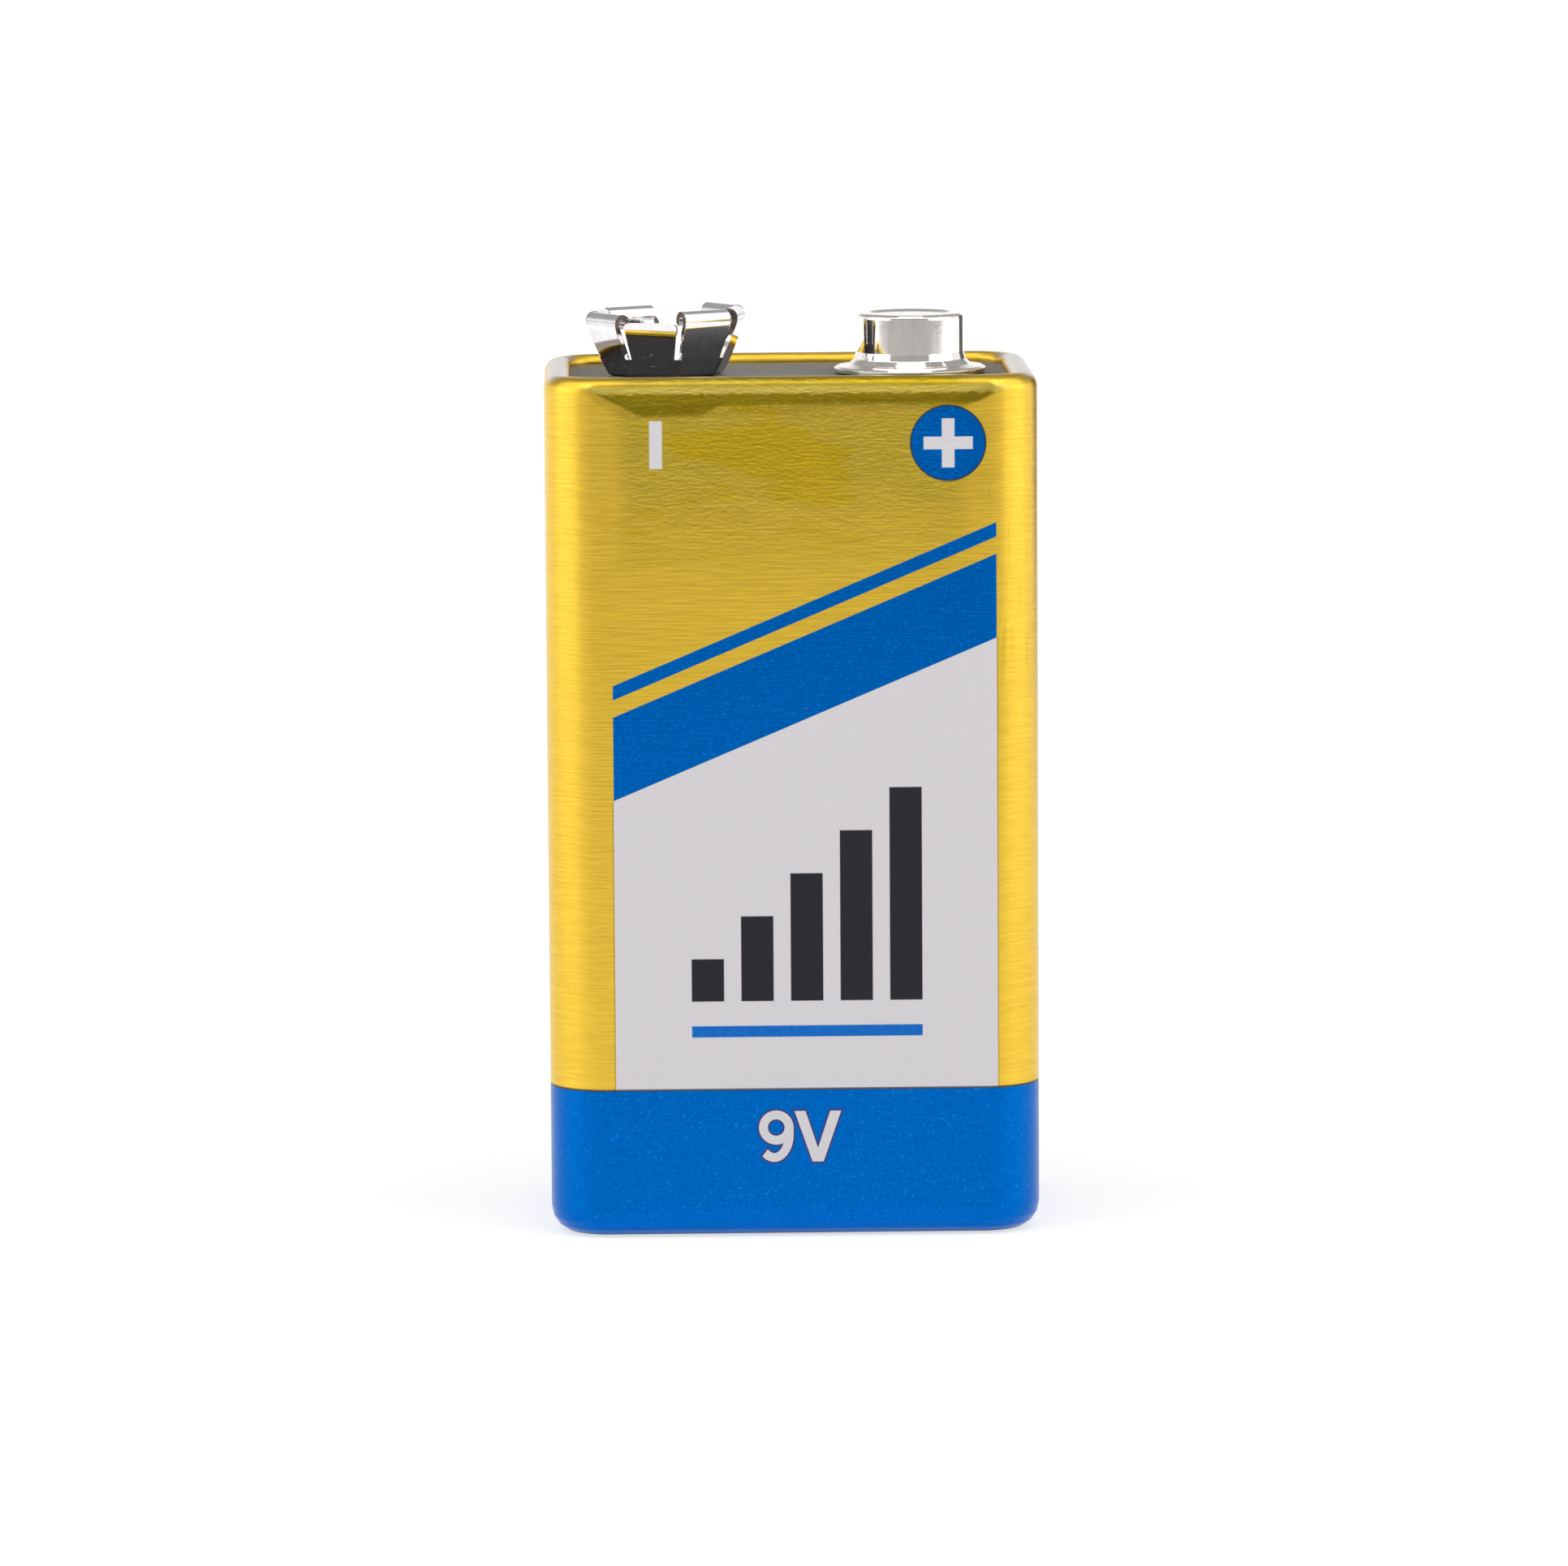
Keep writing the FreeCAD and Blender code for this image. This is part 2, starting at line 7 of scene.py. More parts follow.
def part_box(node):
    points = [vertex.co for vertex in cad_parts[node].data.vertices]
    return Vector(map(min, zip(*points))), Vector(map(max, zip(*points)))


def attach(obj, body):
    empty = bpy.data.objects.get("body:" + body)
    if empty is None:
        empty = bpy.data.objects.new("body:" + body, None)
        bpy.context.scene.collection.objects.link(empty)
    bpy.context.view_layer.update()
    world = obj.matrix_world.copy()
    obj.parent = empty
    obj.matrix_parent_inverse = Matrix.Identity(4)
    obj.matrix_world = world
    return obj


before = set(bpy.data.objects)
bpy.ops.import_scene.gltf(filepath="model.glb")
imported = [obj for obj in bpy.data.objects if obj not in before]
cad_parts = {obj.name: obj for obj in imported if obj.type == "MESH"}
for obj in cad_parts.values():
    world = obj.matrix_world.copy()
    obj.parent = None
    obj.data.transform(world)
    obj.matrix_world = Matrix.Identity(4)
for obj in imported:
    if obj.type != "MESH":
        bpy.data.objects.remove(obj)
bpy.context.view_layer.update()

MM = 0.001
jacket_low, jacket_high = (Vector(corner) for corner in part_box("jacket"))
socket_low, socket_high = (Vector(corner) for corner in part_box("negative_socket"))
FACE = jacket_low.y
RIM = jacket_high.z / MM
SOCKET_X = (socket_low.x + socket_high.x) / 2 / MM
SOCKET_TOP = socket_high.z / MM

# Print on the jacket, in millimetres: x from the middle, heights from the base

FRONT = -3.0  # artwork lies in front of this depth
EDGE = 0.03  # softness of a printed edge
PANEL_LEFT, PANEL_RIGHT = -9.45, 10.6
PANEL_MIDDLE, PANEL_RISE = 27.2, 0.42
FRAME_LINE = 0.07
BROAD_STRIPE, STRIPE_GAP, THIN_STRIPE = 4.4, 0.9, 0.75
PLUS_X, PLUS_Z, PLUS_DISC = 8.1, 41.86, 1.97
PLUS_ARM, PLUS_THICK = 1.28, 0.33
RING_INSIDE, RING_OUTSIDE = 0.07, 0.03
MINUS_X, MINUS_LOW, MINUS_HIGH, MINUS_THICK = -7.11, 40.62, 43.12, 0.33
BARS, BAR_X, BAR_PITCH, BAR_HALF = 5, -4.6, 2.6, 0.85
BAR_FOOT, BAR_STEP = 12.6, 2.25
RULE_LOW, RULE_HIGH = 10.7, 11.3
BAND_TOP, LINE_BELOW, LINE_ABOVE = 7.9, 0.04, 0.08
# Height of a painted shadow line along the jacket's foot
FOOT_SHADOW_HEIGHT = 0.13

# Where the gold changes tone: painted reflections near the top and on the neck, scratches at the right,
# bare tin at the folds. A pair is the start and the end of a soft edge

TOP_ZONE = (RIM - 12.0, RIM - 4.0)
FLAT_EDGE = (9.6, 8.2)
PATCH_EDGE = (0.53, 0.57)
# The neck's painted reflections: a pale band over a dark one, with slanted ends
NECK_HEAD, NECK_FOOT, NECK_SOFT = 44.85, 44.5, 0.1
NECK_SLANT = 2.0
NECK_UNEVEN = 0.35  # how far the leathery texture moves its edges
NECK_TOP_EDGE, NECK_LEFT, NECK_RIGHT = (44.95, 44.8), (-11.1, -10.6), (11.6, 11.1)
SHADE_FOOT, SHADE_DIP, SHADE_EDGE = 44.0, 0.55, (-0.25, 0.1)
DIP_RIGHT, DIP_LEFT = (-3.4, -5.0), (-9.8, -8.8)
WORN_X, WORN_Y, WORN_FOOT, WORN_HEAD = (8.6, 9.6), (-6.6, -7.4), (28.0, 31.0), (41.0, 38.0)
SCRATCH_EDGE = (0.62, 0.68)
FOLD_X, FOLD_Y, FOLD_Z = (11.0, 11.8), (7.2, 6.2), (RIM - 0.4, RIM - 0.1)

# The same for textures: a pair is the start and the end of an edge in the noise

GRAIN_EDGE, PANEL_EDGE = (0.3, 0.7), (0.3, 0.7)
BLUE_EDGE, BLUE_SPECK_EDGE = (0.35, 0.65), (0.66, 0.74)
PATCH_LEATHER = 0.08

# How far a tone covers what is under it

TOP_REFLECTION_SHARE, PATCH_REFLECTION_SHARE, SCRATCH_SHARE = 0.8, 0.65, 0.35
SEAM_SHARE, RING_SHARE, LINE_SHARE, FOLD_SHARE = 0.5, 0.7, 0.85, 0.85
GRAIN_DARK, PANEL_DARK, PLATE_DARK, INK_DARK = 0.86, 0.96, 0.9, 0.93

# Relief of the sheet. Pairs are low down and near the top, or on metal and on pale print

SHEET_ROUNDING, WAVE_DEPTH, LEATHER_DEPTH, GRAIN_DEPTH = 0.25, 0.3, 0.05, 0.025
WAVE_STRENGTH, LEATHER_STRENGTH, GRAIN_STRENGTH = (0.05, 0.25), 0.8, (0.6, 0.12)
SHEET_ROUGH, GRAIN_ROUGH = (0.25, 0.5), 0.08

# Colours, as seen under an even white light, apart from the painted reflections in the top and neck golds
# and the painted shadow line at the foot

GOLD = (0.87, 0.57, 0.058)
# Painted reflection colours: a duller gold for the top of the front, and olive for reflection patches and
# for scratches
TOP_REFLECTION_GOLD = (0.56, 0.41, 0.045)
OLIVE_REFLECTION_AND_WEAR = (0.62, 0.42, 0.006)
# Painted reflection colours for the neck: a pale band and a dark, shaded band
NECK_REFLECTED_PALE = (0.8, 0.63, 0.12)
NECK_REFLECTED_DARK = (0.34, 0.245, 0.012)
BLUE = (0.0, 0.145, 0.56)
BLUE_DEEP = (0.0, 0.12, 0.48)
BLUE_SPECK = (0.03, 0.22, 0.72)
VIOLET = (0.02, 0.03, 0.2)
# Dark ink lines; the same colour paints the shadow line at the foot
INK_AND_SHADOW_LINE = (0.03, 0.03, 0.04)
PANEL = (0.67, 0.645, 0.67)
CHARCOAL = (0.015, 0.0145, 0.022)
TIN = (0.78, 0.77, 0.78)
SEAM = (0.16, 0.12, 0.05)
SHEARED = (0.16, 0.13, 0.11)
WHITE, BLACK = (1.0, 1.0, 1.0), (0.0, 0.0, 0.0)


def scaled(colour, share):
    return tuple(channel * share for channel in colour)


class Graph:
    """Short names for the nodes of a material or of the world."""

    def __init__(self, owner, kind="Material"):
        owner.use_nodes = True
        self.owner = owner
        self.tree = owner.node_tree
        self.tree.nodes.clear()
        self.output = self.node("Output" + kind)

    def put(self, socket, value):
        if isinstance(value, bpy.types.NodeSocket):
            self.tree.links.new(value, socket)
        elif isinstance(value, tuple) and len(value) == 3 and len(socket.default_value) == 4:
            socket.default_value = (*value, 1)
        else:
            socket.default_value = value

    def node(self, kind, inputs=(), **settings):
        node = self.tree.nodes.new("ShaderNode" + kind)
        for name, value in settings.items():
            setattr(node, name, value)
        for key, value in dict(inputs).items():
            self.put(node.inputs[key], value)
        return node

    def math(self, operation, first, second=0.0):
        return self.node("Math", {0: first, 1: second}, operation=operation).outputs[0]

    def add(self, first, second):
        return self.math("ADD", first, second)

    def subtract(self, first, second):
        return self.math("SUBTRACT", first, second)

    def times(self, first, *others):
        for other in others:
            first = self.math("MULTIPLY", first, other)
        return first

    def most(self, first, *others):
        for other in others:
            first = self.math("MAXIMUM", first, other)
        return first

    def size(self, value):
        return self.math("ABSOLUTE", value)

    def length(self, first, second):
        return self.math("SQRT", self.add(self.times(first, first), self.times(second, second)))

    def ramp(self, value, low, high, start=0.0, end=1.0):
        """Goes softly from start at low to end at high, and stays there."""
        limits = {"Value": value, "From Min": low, "From Max": high, "To Min": start, "To Max": end}
        return self.node("MapRange", limits, interpolation_type="SMOOTHSTEP").outputs["Result"]

    def inside(self, distance):
        """One where the signed distance is negative, with a soft edge."""
        return self.ramp(distance, EDGE, -EDGE)

    def between(self, value, low, high):
        return self.inside(self.most(self.subtract(low, value), self.subtract(value, high)))

    def mix(self, factor, first, second):
        return self.node("Mix", {0: factor, 6: first, 7: second}, data_type="RGBA").outputs[2]

    def blend(self, factor, first, second):
        return self.node("Mix", {0: factor, 2: first, 3: second}, data_type="FLOAT").outputs[0]

    def scale(self, vector, share):
        return self.node("VectorMath", {0: vector, 3: share}, operation="SCALE").outputs[0]

    def place(self):
        """Object coordinates in millimetres."""
        return self.scale(self.node("TexCoord").outputs["Object"], 1 / MM)

    def parts(self, vector):
        return self.node("SeparateXYZ", {0: vector}).outputs

    def noise(self, vector, scale, detail=2.0, stretch=None, roughness=0.5):
        if stretch:
            vector = self.node("VectorMath", {0: vector, 1: stretch}, operation="MULTIPLY").outputs[0]
        inputs = {"Vector": vector, "Scale": scale, "Detail": detail, "Roughness": roughness}
        return self.node("TexNoise", inputs).outputs["Fac"]

    def bevel(self, radius):
        return self.node("Bevel", {"Radius": radius * MM}, samples=4).outputs["Normal"]

    def bump(self, height, strength, depth, normal=None):
        inputs = {"Height": height, "Strength": strength, "Distance": depth * MM}
        if normal:
            inputs["Normal"] = normal
        return self.node("Bump", inputs).outputs["Normal"]

    def seen(self):
        """One for rays from the camera, or by way of metal or glass, and zero for others."""
        path = self.node("LightPath").outputs
        return self.most(path["Is Camera Ray"], path["Is Glossy Ray"], path["Is Transmission Ray"])

    def show(self, shader):
        self.tree.links.new(shader, self.output.inputs["Surface"])
        return self.owner

    def finish(self, **inputs):
        inputs = {name.replace("_", " "): value for name, value in inputs.items()}
        return self.show(self.node("BsdfPrincipled", inputs).outputs["BSDF"])


def material(name):
    return Graph(bpy.data.materials.new(name))


# Printed sheet of the jacket

def painted_neck_bands(g, gold, x, z, front, leather):
    """Painted reflections on the neck: a pale band over a dark, shaded one that dips at the left, between
    slanted ends.
    """
    slope = g.times(g.subtract(NECK_HEAD, z), NECK_SLANT)
    neck = g.times(front, g.ramp(g.subtract(x, slope), *NECK_LEFT), g.ramp(g.add(x, slope), *NECK_RIGHT))
    uneven = g.add(z, g.times(g.subtract(leather, 0.5), NECK_UNEVEN))
    over = g.ramp(uneven, NECK_FOOT - NECK_SOFT, NECK_FOOT + NECK_SOFT)
    gold = g.mix(g.times(neck, over, g.ramp(z, *NECK_TOP_EDGE)), gold, NECK_REFLECTED_PALE)
    dip = g.times(g.ramp(x, *DIP_RIGHT), g.ramp(x, *DIP_LEFT))
    foot = g.subtract(SHADE_FOOT, g.times(dip, SHADE_DIP))
    under = g.ramp(uneven, NECK_FOOT + NECK_SOFT, NECK_FOOT - NECK_SOFT)
    shaded = g.times(g.ramp(g.subtract(uneven, foot), *SHADE_EDGE), under)
    return g.mix(g.times(neck, shaded), gold, NECK_REFLECTED_DARK)


def brushed_gold(g, place, x, y, z, front, flat_top, grain, leather):
    """Gold with painted reflections near the top (duller towards the top of the flat front, with olive
    patches), painted reflection bands on the neck and scratches at the right.
    """
    reflection_mottle = g.noise(place, 0.1, 3.0, stretch=(1.0, 1.0, 2.6))
    # Painted reflection: the flat front is duller towards the top, with olive patches
    gold = g.mix(g.times(flat_top, TOP_REFLECTION_SHARE), GOLD, TOP_REFLECTION_GOLD)
    reflection_patch = g.times(g.ramp(g.add(reflection_mottle, g.times(leather, PATCH_LEATHER)), *PATCH_EDGE), flat_top)
    gold = g.mix(g.times(reflection_patch, PATCH_REFLECTION_SHARE), gold, OLIVE_REFLECTION_AND_WEAR)
    gold = painted_neck_bands(g, gold, x, z, front, leather)
    scratches = g.noise(place, 1.0, 1.0, stretch=(6.0, 6.0, 0.3), roughness=0.4)
    worn = g.times(g.ramp(x, *WORN_X), g.ramp(y, *WORN_Y), g.ramp(z, *WORN_FOOT), g.ramp(z, *WORN_HEAD))
    gold = g.mix(g.times(worn, g.ramp(scratches, *SCRATCH_EDGE, 0.0, SCRATCH_SHARE)), gold, OLIVE_REFLECTION_AND_WEAR)
    return g.scale(gold, g.ramp(grain, *GRAIN_EDGE, GRAIN_DARK, 1.0))


def rising_bars(g, x, z):
    bars = 0.0
    for step in range(BARS):
        middle = BAR_X + step * BAR_PITCH
        bar = g.times(g.between(x, middle - BAR_HALF, middle + BAR_HALF),
                      g.between(z, BAR_FOOT, BAR_FOOT + (step + 1) * BAR_STEP))
        bars = g.most(bars, bar)
    last_bar = BAR_X + (BARS - 1) * BAR_PITCH
    rule = g.times(g.between(x, BAR_X - BAR_HALF, last_bar + BAR_HALF), g.between(z, RULE_LOW, RULE_HIGH))
    return bars, rule


def pole_marks(g, x, z):
    """Plus with its disc and ring, and minus."""
    across = g.subtract(x, PLUS_X)
    above = g.subtract(z, PLUS_Z)
    reach = g.length(across, above)
    disc = g.inside(g.subtract(reach, PLUS_DISC))
    ring = g.between(reach, PLUS_DISC - RING_INSIDE, PLUS_DISC + RING_OUTSIDE)
    arms = [g.times(g.between(along, -PLUS_ARM, PLUS_ARM), g.between(aside, -PLUS_THICK, PLUS_THICK))
            for along, aside in ((across, above), (above, across))]
    minus = g.times(g.between(x, MINUS_X - MINUS_THICK, MINUS_X + MINUS_THICK),
                    g.between(z, MINUS_LOW, MINUS_HIGH))
    return disc, ring, g.most(*arms), minus


def printed_sheet():
    g = material("printed_sheet")
    place = g.place()
    x, y, z = g.parts(place)
    front = g.math("LESS_THAN", y, FRONT)
    grain = g.noise(place, 1.0, 4.0, stretch=(0.5, 0.5, 7.5), roughness=0.65)
    leather = g.noise(place, 1.0, 3.0, stretch=(2.4, 2.4, 7.0))
    speck = g.noise(place, 8.0, 2.0, roughness=0.6)
    near_top = g.ramp(z, *TOP_ZONE)
    flat_top = g.times(near_top, front, g.ramp(g.size(x), *FLAT_EDGE))

    slant = g.subtract(z, g.add(PANEL_MIDDLE, g.times(x, PANEL_RISE)))
    width = g.between(x, PANEL_LEFT, PANEL_RIGHT)
    thin_low = BROAD_STRIPE + STRIPE_GAP
    panel = g.times(width, g.inside(slant))
    broad = g.times(width, g.between(slant, 0.0, BROAD_STRIPE))
    thin = g.times(width, g.between(slant, thin_low, thin_low + THIN_STRIPE))
    frame_line = g.times(g.between(x, PANEL_LEFT - FRAME_LINE, PANEL_RIGHT + FRAME_LINE), g.inside(slant))
    frame_line = g.subtract(frame_line, panel)
    bars, rule = rising_bars(g, x, z)
    disc, ring, plus, minus = pole_marks(g, x, z)
    band = g.inside(g.subtract(z, BAND_TOP))
    band_line = g.between(z, BAND_TOP - LINE_BELOW, BAND_TOP + LINE_ABOVE)

    gold = brushed_gold(g, place, x, y, z, front, flat_top, grain, leather)
    blue = g.mix(g.ramp(speck, *BLUE_EDGE), BLUE_DEEP, BLUE)
    blue = g.mix(g.ramp(speck, *BLUE_SPECK_EDGE), blue, BLUE_SPECK)
    white = g.mix(g.ramp(speck, *PANEL_EDGE), scaled(PANEL, PANEL_DARK), PANEL)
    colour = gold
    for area, ink in ((g.times(frame_line, SEAM_SHARE), SEAM), (g.most(broad, thin), blue), (panel, white),
                      (bars, CHARCOAL), (g.most(disc, rule), blue), (g.times(ring, RING_SHARE), INK_AND_SHADOW_LINE),
                      (g.most(plus, minus), PANEL)):
        colour = g.mix(g.times(area, front), colour, ink)
    colour = g.mix(band, colour, blue)
    colour = g.mix(g.times(band_line, LINE_SHARE), colour, INK_AND_SHADOW_LINE)
    # Painted shadow: a near-black line along the very foot of the jacket
    colour = g.mix(g.inside(g.subtract(z, FOOT_SHADOW_HEIGHT)), colour, INK_AND_SHADOW_LINE)
    fold = g.times(g.ramp(g.size(x), *FOLD_X), g.ramp(g.size(y), *FOLD_Y), g.ramp(z, *FOLD_Z))
    colour = g.mix(g.times(fold, FOLD_SHARE), colour, TIN)

    pale = g.times(g.most(panel, plus, minus), front, g.subtract(1.0, band))
    metal = g.subtract(1.0, g.most(pale, g.times(bars, front)))
    waves = g.noise(place, 0.16, 1.0, stretch=(1.0, 1.0, 1.6))
    normal = g.bump(waves, g.blend(near_top, *WAVE_STRENGTH), WAVE_DEPTH, g.bevel(SHEET_ROUNDING))
    normal = g.bump(leather, g.times(flat_top, LEATHER_STRENGTH), LEATHER_DEPTH, normal)
    normal = g.bump(grain, g.blend(pale, *GRAIN_STRENGTH), GRAIN_DEPTH, normal)
    rough = g.add(g.blend(pale, *SHEET_ROUGH), g.times(grain, GRAIN_ROUGH))
    return g.finish(Base_Color=colour, Metallic=metal, Roughness=rough, Normal=normal,
                    Specular_IOR_Level=0.2)


# Plated terminals, eyelets, strips and cans

STREAK_EDGE, DULL_EDGE, DULL_ROUGH = (0.3, 0.75), (0.45, 0.8), 0.1
PLATE_ROUNDING, SPECK_STRENGTH, SPECK_DEPTH = 0.06, 0.05, 0.01
FACING_EDGE, SPECK_EDGE = (0.62, 0.8), (0.2, 0.4)
SHEARED_EDGE, SHEARED_ROUGH = (SOCKET_TOP - 1.35, SOCKET_TOP - 1.1), 0.55
BULGE, BULGE_FOOT, BULGE_HEIGHT = 0.2, 46.45, 1.4


def sheared_ends(g, x, y, z, speck):
    """One on the ends of rolled petals: faces that look round the socket's axis, near its top."""
    normal = g.parts(g.node("NewGeometry").outputs["True Normal"])
    away = g.subtract(x, SOCKET_X)
    round_way = g.subtract(g.times(away, normal[1]), g.times(y, normal[0]))
    facing = g.math("DIVIDE", g.size(round_way), g.length(away, y))
    return g.times(g.ramp(facing, *FACING_EDGE), g.ramp(z, *SHEARED_EDGE), g.ramp(speck, *SPECK_EDGE))


def plated(name, colour, roughness, petals=False):
    """Bright plating. Petals bulge a little near the top, and their sheared ends are dull and brown."""
    g = material(name)
    place = g.place()
    streaks = g.noise(place, 2.2, 3.0, stretch=(1.0, 1.0, 0.3))
    speck = g.noise(place, 7.0, 2.0)
    tone = g.mix(g.ramp(streaks, *STREAK_EDGE), colour, scaled(colour, PLATE_DARK))
    rough = g.add(roughness, g.times(g.ramp(speck, *DULL_EDGE), DULL_ROUGH))
    normal = g.bevel(PLATE_ROUNDING)
    if petals:
        x, y, z = g.parts(place)
        cut = sheared_ends(g, x, y, z, speck)
        tone = g.mix(cut, tone, SHEARED)
        rough = g.blend(cut, rough, SHEARED_ROUGH)
        above = g.math("MINIMUM", g.most(g.subtract(z, BULGE_FOOT), 0.0), BULGE_HEIGHT)
        normal = g.bump(g.times(above, above, -BULGE / 2), 1.0, 1.0, normal)
    normal = g.bump(speck, SPECK_STRENGTH, SPECK_DEPTH, normal)
    return g.finish(Base_Color=tone, Metallic=1.0, Roughness=rough, Normal=normal)


# Fibre, moulding and card

GRAIN_LOW, GRAIN_HIGH, GRAIN_RELIEF = 0.75, 1.25, 0.3
SPECK_SPREAD, FIBRE_SPECK = 0.9, (0.72, 0.75)
ROUGH_EDGE, ROUGH_SPREAD = (0.2, 0.9), 0.15


def plain(name, colour, roughness, grain_scale, grain_depth, speck_colour=None, sheen=0.0):
    g = material(name)
    place = g.place()
    grain = g.noise(place, grain_scale, 4.0, roughness=0.65)
    tone = g.mix(grain, scaled(colour, GRAIN_LOW), scaled(colour, GRAIN_HIGH))
    if speck_colour:
        speck = g.noise(place, grain_scale * SPECK_SPREAD, 1.0)
        tone = g.mix(g.ramp(speck, *FIBRE_SPECK), tone, speck_colour)
    normal = g.bump(grain, GRAIN_RELIEF, grain_depth)
    rough = g.ramp(grain, *ROUGH_EDGE, roughness, roughness + ROUGH_SPREAD)
    return g.finish(Base_Color=tone, Roughness=rough, Normal=normal, Sheen_Weight=sheen,
                    Sheen_Roughness=0.2, Specular_IOR_Level=0.25)


DRESSED = {
    printed_sheet(): ["jacket"],
    plated("petal_plate", (0.92, 0.9, 0.9), 0.04, petals=True): ["negative_socket"],
    plated("stud_plate", (0.97, 0.92, 0.86), 0.05): ["positive_stud"],
    plated("eyelet_plate", (0.75, 0.74, 0.72), 0.18): ["negative_eyelet", "positive_eyelet"],
    plated("cell_steel", (0.62, 0.62, 0.63), 0.28): [
        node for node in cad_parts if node.startswith("cell_") or "strap" in node or "lead" in node],
    plain("black_fibre", (0.008, 0.007, 0.008), 0.4, 4.0, 0.015, (0.09, 0.08, 0.1), 0.5): ["top_board"],
    plain("black_moulding", (0.025, 0.025, 0.027), 0.4, 3.0, 0.01): ["base_plate"],
    plain("waxed_card", (0.62, 0.55, 0.42), 0.6, 5.0, 0.02): ["top_card", "bottom_card"],
}
for finish, nodes in DRESSED.items():
    for node in nodes:
        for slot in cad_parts[node].material_slots:
            slot.material = finish

# Rating mark on the blue band, in millimetres from the foot of the 9

MARK_LEFT, MARK_FOOT = -1.98, 4.05
STROKE = 0.47
BOWL_RADIUS, BOWL_MIDDLE, BOWL_END = 0.91, (0.91, 1.83), 294
TAIL_MIDDLE, TAIL_HALF_WIDTH, TAIL_HALF_HEIGHT = (0.8, 1.45), 0.785, 1.215
TAIL_START, TAIL_BEND = -128, -28
V_LEFT, V_WIDTH, V_HEIGHT, V_STROKE, V_FOOT, V_NOTCH = 1.87, 2.46, 2.7, 0.58, 0.29, 0.725
INK_THICK, OUTLINE_SWELL, OUTLINE_LIFT, MARK_LIFT = 0.004, 0.1, 0.005, 0.012


def ink(name, colour):
    g = material(name)
    tone = g.mix(g.noise(g.place(), 6.0, 3.0), colour, scaled(colour, INK_DARK))
    return g.finish(Base_Color=tone, Metallic=0.1, Roughness=0.5)


def arc(middle, half_width, half_height, start, end, steps=24):
    angles = [math.radians(start + (end - start) * step / steps) for step in range(steps + 1)]
    return [(middle[0] + half_width * math.cos(a), middle[1] + half_height * math.sin(a)) for a in angles]


def rating_outlines():
    """Outlines of the 9, of the hole in it and of the V."""
    half = STROKE / 2
    nine = arc(TAIL_MIDDLE, TAIL_HALF_WIDTH + half, TAIL_HALF_HEIGHT + half, TAIL_START, 0)
    nine += arc(BOWL_MIDDLE, BOWL_RADIUS, BOWL_RADIUS, 0, BOWL_END)
    nine += arc(TAIL_MIDDLE, TAIL_HALF_WIDTH - half, TAIL_HALF_HEIGHT - half, TAIL_BEND, TAIL_START)
    hole = arc(BOWL_MIDDLE, BOWL_RADIUS - STROKE, BOWL_RADIUS - STROKE, 0, 345, 23)
    centre = V_LEFT + V_WIDTH / 2
    left = [(centre - V_FOOT, 0.0), (centre - V_WIDTH / 2, V_HEIGHT),
            (centre - V_WIDTH / 2 + V_STROKE, V_HEIGHT), (centre, V_NOTCH)]
    vee = left + [(2 * centre - across, high) for across, high in reversed(left[:3])]
    return nine, hole, vee


def mark(name, finish, swell, lift):
    """Flat printed lettering that stands just proud of the front face."""
    curve = bpy.data.curves.new(name, "CURVE")
    curve.dimensions = "2D"
    curve.fill_mode = "BOTH"
    curve.offset = swell * MM
    curve.extrude = INK_THICK * MM
    for outline in rating_outlines():
        spline = curve.splines.new("POLY")
        spline.points.add(len(outline) - 1)
        for point, (across, high) in zip(spline.points, outline):
            point.co = (across * MM, high * MM, 0, 1)
        spline.use_cyclic_u = True
    letters = bpy.data.objects.new(name + "_curve", curve)
    bpy.context.collection.objects.link(letters)
    shape = bpy.data.meshes.new_from_object(letters.evaluated_get(bpy.context.evaluated_depsgraph_get()))
    bpy.data.objects.remove(letters)
    upright = Matrix.Translation((MARK_LEFT * MM, FACE - lift * MM, MARK_FOOT * MM))
    shape.transform(upright @ Matrix.Rotation(math.pi / 2, 4, "X"))
    shape.materials.clear()
    shape.materials.append(finish)
    piece = bpy.data.objects.new(name, shape)
    bpy.context.collection.objects.link(piece)
    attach(piece, "root")


mark("rating_outline", ink("violet_ink", VIOLET), OUTLINE_SWELL, OUTLINE_LIFT)
mark("rating_mark", ink("pale_ink", PANEL), 0.0, MARK_LIFT)

# Floor: glow, and painted shade in a wedge far behind to the right, by distance from the battery, in
# millimetres

FLOOR_HALF = 6.0
FLOOR_ALBEDO, SHOWN_ALBEDO = 0.8, 0.4
GLOW_NEAR, GLOW_FAR, GLOW_FRONT = 0.66, 1.0, 0.2
GLOW_START, GLOW_END = 80.0, 600.0
FRONT_START, FRONT_END = -100.0, -330.0
DARK_START, DARK_END, DARK_SHARE = 322.0, 345.0, 0.9
GAP_START, GAP_END, GAP_SOFT = math.radians(27), math.radians(48), 0.07


def dark_right_wedge(g, x, y):
    """One in a wedge behind and to the right, which the world lights less and the floor paints as shade."""
    turn = g.math("ARCTAN2", x, y)
    return g.times(g.ramp(turn, GAP_START - GAP_SOFT, GAP_START), g.ramp(turn, GAP_END + GAP_SOFT, GAP_END))


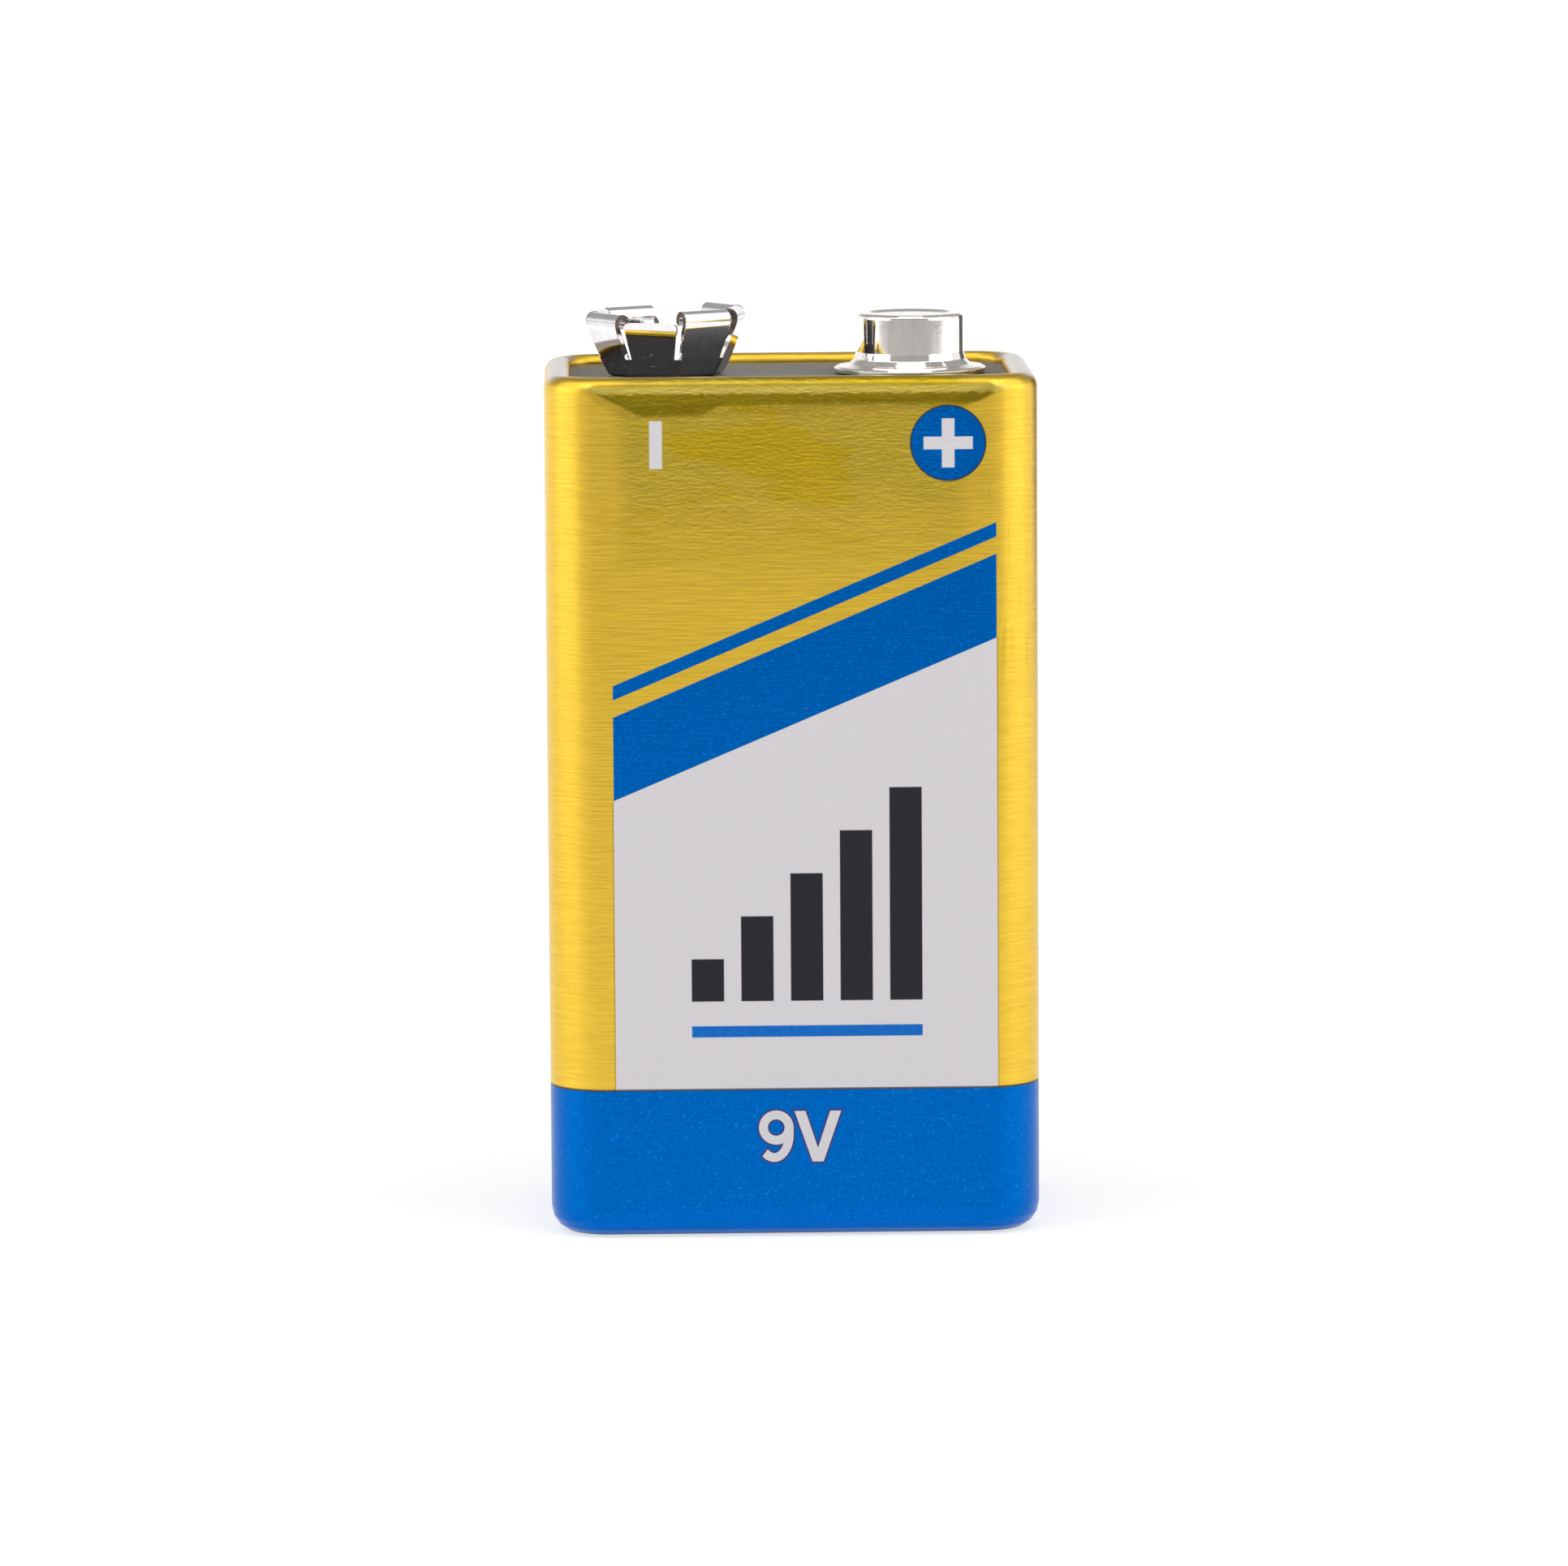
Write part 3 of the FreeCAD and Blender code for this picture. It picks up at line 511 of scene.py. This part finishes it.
def floor_paint():
    """White floor: lit by the lamps, with a glow of its own where it shows, so that it reads as white. The
    glow is weaker in front, and far to the right a wedge is painted dark: painted shade for metal to
    reflect.
    """
    g = material("studio_floor")
    x, y = g.parts(g.place())[:2]
    reach = g.length(x, y)
    # Painted shade on the floor in the wedge, seen in reflections down the jacket's right edge
    dark = g.times(dark_right_wedge(g, x, y), g.ramp(reach, DARK_START, DARK_END, 0.0, DARK_SHARE))
    glow = g.ramp(reach, GLOW_START, GLOW_END, GLOW_NEAR, GLOW_FAR)
    # The glow is weaker in front: painted shade for the blue band's foot and the terminals to reflect
    glow = g.blend(g.ramp(y, FRONT_START, FRONT_END), glow, GLOW_FRONT)
    glow = g.times(glow, g.subtract(1.0, dark))
    lit = g.node("BsdfDiffuse", {"Color": scaled(WHITE, FLOOR_ALBEDO)}).outputs[0]
    shown = g.node("BsdfDiffuse", {"Color": g.mix(dark, scaled(WHITE, SHOWN_ALBEDO), BLACK)}).outputs[0]
    glowing = g.node("Emission", {"Color": WHITE, "Strength": glow}).outputs[0]
    both = g.node("AddShader", {0: shown, 1: glowing}).outputs[0]
    return g.show(g.node("MixShader", {0: g.seen(), 1: lit, 2: both}).outputs[0])


floor_mesh = bpy.data.meshes.new("floor")
floor_mesh.from_pydata([(-FLOOR_HALF, -FLOOR_HALF, 0), (FLOOR_HALF, -FLOOR_HALF, 0),
                        (FLOOR_HALF, FLOOR_HALF, 0), (-FLOOR_HALF, FLOOR_HALF, 0)], [], [(0, 1, 2, 3)])
floor_mesh.materials.append(floor_paint())
floor = bpy.data.objects.new("floor", floor_mesh)
bpy.context.collection.objects.link(floor)

# World and lamps

HORIZON_LIGHT, FRONT_LIGHT, SKY_LIGHT, GAP_LIGHT = 1.0, 0.6, 0.38, 0.12
HAZE_TOP, SKY_FOOT = math.sin(math.radians(10)), math.sin(math.radians(28))
FRONT_EDGE, FRONT_CORE = -math.cos(math.radians(58)), -math.cos(math.radians(20))


def studio():
    """White round the horizon, greyer in front of the battery and overhead."""
    world = bpy.data.worlds.new("studio")
    bpy.context.scene.world = world
    g = Graph(world, "World")
    way_x, way_y, way_z = g.parts(g.node("TexCoord").outputs["Generated"])
    horizon = g.ramp(way_y, FRONT_EDGE, FRONT_CORE, HORIZON_LIGHT, FRONT_LIGHT)
    horizon = g.blend(dark_right_wedge(g, way_x, way_y), horizon, GAP_LIGHT)
    light = g.blend(g.ramp(way_z, HAZE_TOP, SKY_FOOT), horizon, SKY_LIGHT)
    g.show(g.node("Background", {"Color": WHITE, "Strength": light}).outputs[0])


def lamp(name, azimuth, elevation, distance, wide, high, brightness):
    """Soft box that faces the battery. White that fills the view has a brightness of 1."""
    light = bpy.data.lights.new(name, "AREA")
    light.shape = "RECTANGLE"
    light.size, light.size_y = wide, high
    light.energy = math.pi * wide * high * brightness
    item = bpy.data.objects.new(name, light)
    a, e = math.radians(azimuth), math.radians(elevation)
    away = Vector((math.sin(a) * math.cos(e), -math.cos(a) * math.cos(e), math.sin(e)))
    item.location = away * distance
    item.rotation_euler = away.to_track_quat("Z", "Y").to_euler()
    bpy.context.collection.objects.link(item)


studio()
lamp("left_box", -76, 33, 0.5, 0.5, 0.6, 1.1)
lamp("right_box", 72, 33, 0.5, 0.5, 0.6, 1.1)
lamp("top_box", 0, 66, 0.6, 0.7, 0.5, 1.4)

# Camera: distances in millimetres, angles in degrees

PHOTO_WIDTH, FOCAL_PIXELS = 1932, 10333
SENSOR_WIDTH = 36.0
DISTANCE = 446.5
ELEVATION, YAW, ROLL = 7.52, 1.335, 0.366
AIM = Vector((-0.35, 0.0, 23.0))


def camera():
    data = bpy.data.cameras.new("camera")
    data.sensor_width = SENSOR_WIDTH
    data.lens = FOCAL_PIXELS / PHOTO_WIDTH * SENSOR_WIDTH
    data.clip_start = 0.01
    item = bpy.data.objects.new("camera", data)
    bpy.context.collection.objects.link(item)
    e, yaw, roll = (math.radians(angle) for angle in (ELEVATION, YAW, ROLL))
    back = Vector((-math.sin(yaw) * math.cos(e), -math.cos(yaw) * math.cos(e), math.sin(e)))
    right = Vector((math.cos(yaw), -math.sin(yaw), 0))
    up = back.cross(right)
    right, up = right * math.cos(roll) - up * math.sin(roll), right * math.sin(roll) + up * math.cos(roll)
    turned = Matrix((right, up, back)).transposed().to_4x4()
    item.matrix_world = Matrix.Translation((AIM + back * DISTANCE) * MM) @ turned
    bpy.context.scene.camera = item


camera()
bpy.context.scene.view_settings.view_transform = "Standard"
